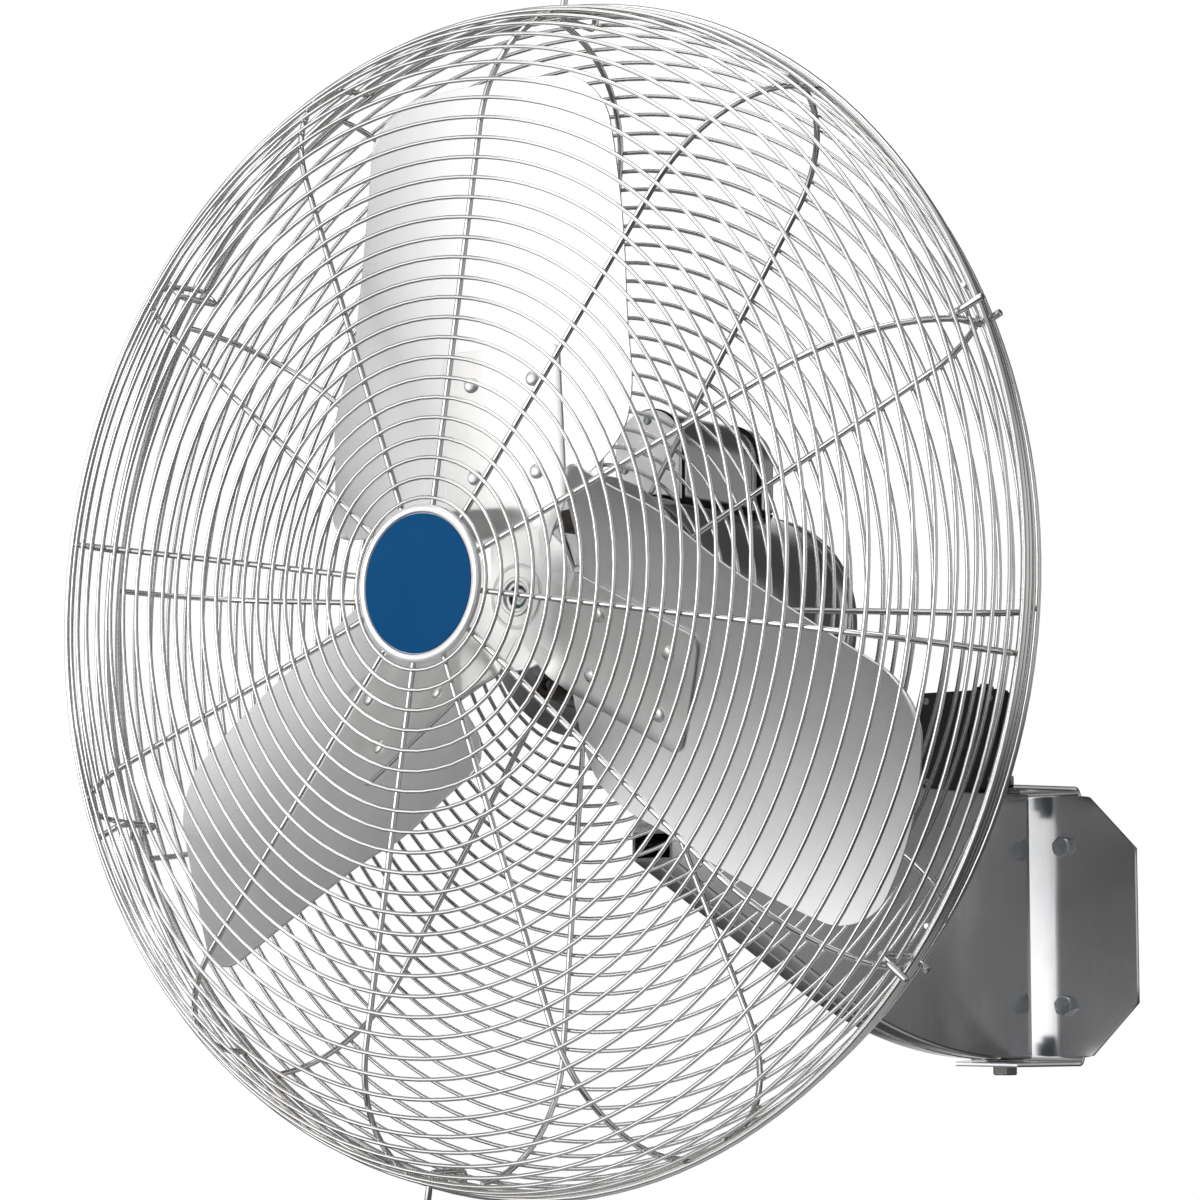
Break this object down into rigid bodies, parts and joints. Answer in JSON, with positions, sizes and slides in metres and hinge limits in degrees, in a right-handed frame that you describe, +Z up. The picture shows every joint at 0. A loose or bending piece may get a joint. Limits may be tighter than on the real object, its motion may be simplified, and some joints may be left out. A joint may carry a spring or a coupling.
{
  "type": "wall mounted fan",
  "caption": "Industrial fan with a three-blade propeller in a wire guard, on a tilting head carried by a swivelling steel arm and wall bracket.",
  "frame": {"origin": "centre of the wall plate's back face, which lies on the wall", "axes": "+Z up, +Y into the wall, so the fan blows towards -Y and +X is on the right of someone who faces it"},
  "size_m": [0.8606, 0.7953, 0.874],
  "materials": {
    "wire": "bright stainless wire",
    "blade": "satin",
    "spider": "satin",
    "motor": "polished",
    "bell": "cast",
    "steel": "polished sheet",
    "zinc": "zinc plated",
    "core": "laminated core",
    "brown": "dull",
    "black": "matt",
    "blue": "printed disc, blank",
    "silver": "metallised",
    "nylon": "plain"
  },
  "bodies": {
    "wall": {"wall_bracket": "steel", "wall_bolt_1": "zinc", "wall_bolt_2": "zinc", "wall_bolt_3": "zinc", "wall_bolt_4": "zinc", "pivot_bolt": "zinc", "pivot_nut": "zinc", "thrust_washer_upper": "nylon", "thrust_washer_lower": "nylon"},
    "arm": {"arm": "steel", "pivot_sleeve": "zinc", "switch_box": "black", "switch_box_lid": "black", "switch_box_gland": "black", "tilt_bolt": "zinc", "tilt_nut": "zinc", "lock_bolt": "zinc", "lock_nut": "zinc"},
    "head": {"badge_body": "silver", "badge_clamp": "steel", "badge_disc": "blue", "badge_screw": "zinc", "conduit_base_seal": "black", "conduit_box": "motor", "conduit_front_cover": "silver", "conduit_front_seal": "black", "conduit_gland": "black", "conduit_rear_cover": "motor", "front_bearing": "zinc", "front_guard": "wire", "guard_clip_1": "wire", "guard_clip_2": "wire", "guard_clip_3": "wire", "guard_clip_4": "wire", "guard_clip_5": "wire", "guard_clip_6": "wire", "guard_mount_ring": "steel", "motor_boss_1": "brown", "motor_boss_2": "brown", "motor_boss_3": "brown", "motor_boss_4": "brown", "motor_front_bell": "bell", "motor_rear_bell": "motor", "motor_saddle": "steel", "motor_shell": "motor", "motor_stator": "core", "rear_bearing": "zinc", "rear_guard": "wire", "saddle_bolt_left": "zinc", "saddle_bolt_right": "zinc", "tilt_yoke": "steel"},
    "propeller": {"hub_spider": "spider", "blade_1": "blade", "blade_2": "blade", "blade_3": "blade", "hub_set_screw": "zinc", "shaft": "zinc", "motor_rotor": "core"}
  },
  "joints": [
    {"name": "swivel", "type": "hinge", "parent": "wall", "child": "arm", "pos_m": [0, -0.04, 0], "axis": [0, 0, 1], "range_deg": [-45, 45]},
    {"name": "tilt", "type": "hinge", "parent": "arm", "child": "head", "pos_m": [0, -0.47, 0.084], "axis": [1, 0, 0], "range_deg": [-15, 25]},
    {"name": "spin", "type": "hinge", "parent": "head", "child": "propeller", "pos_m": [0, -0.61, 0.228], "axis": [0, 1, 0], "continuous": true}
  ]
}
